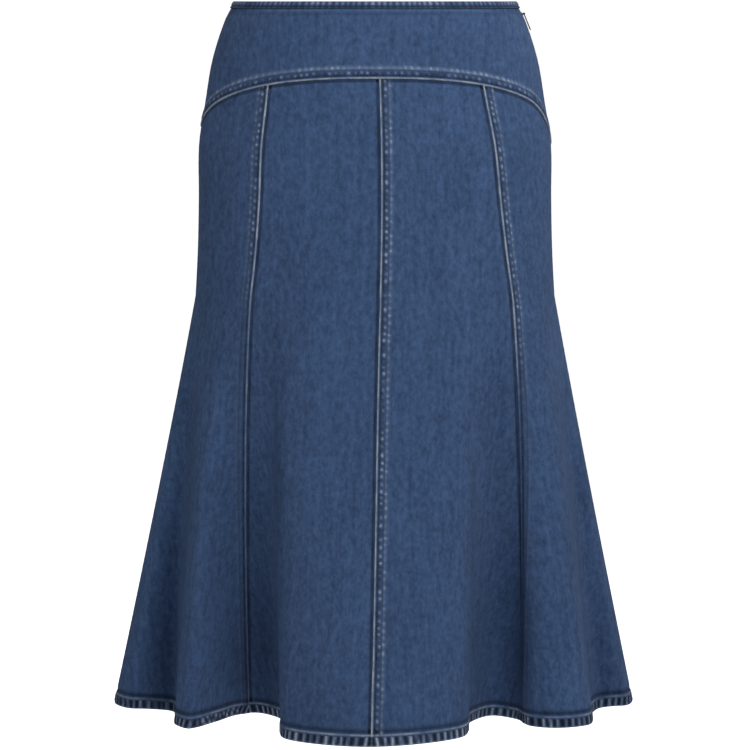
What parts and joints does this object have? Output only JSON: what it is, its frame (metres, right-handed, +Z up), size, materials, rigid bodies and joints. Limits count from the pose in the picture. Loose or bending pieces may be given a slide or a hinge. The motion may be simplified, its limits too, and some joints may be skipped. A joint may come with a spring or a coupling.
{
  "type": "denim skirt",
  "caption": "Flared knee-length denim skirt in open worn form, with shaped yokes, panelled flutes, bound waist, turned hem and a side zip.",
  "frame": {"origin": "middle of the waist opening, level with the waist edge", "axes": "+Z up along the body, front faces -Y, the wearer's left is +X"},
  "size_m": [0.544, 0.396, 0.739],
  "materials": {
    "denim": "washed mid-blue cotton denim, matt twill",
    "zip_tape": "navy woven zip tape, matt",
    "zip_metal": "navy lacquered zip metal, satin"
  },
  "bodies": {
    "skirt": {"yoke_front": "denim", "yoke_back": "denim", "gore_front_centre_left": "denim", "gore_front_side_left": "denim", "gore_back_side_left": "denim", "gore_back_centre_left": "denim", "gore_back_centre_right": "denim", "gore_back_side_right": "denim", "gore_front_side_right": "denim", "gore_front_centre_right": "denim", "waist_binding": "denim", "side_zip_tape": "zip_tape", "zip_slider": "zip_metal"},
    "pull_tab": {"zip_pull": "zip_metal"}
  },
  "joints": [
    {"name": "pull_hinge", "type": "hinge", "parent": "skirt", "child": "pull_tab", "pos_m": [0.15157, 0, -0.01232], "axis": [0, -1, 0], "range_deg": [0, 165]}
  ]
}
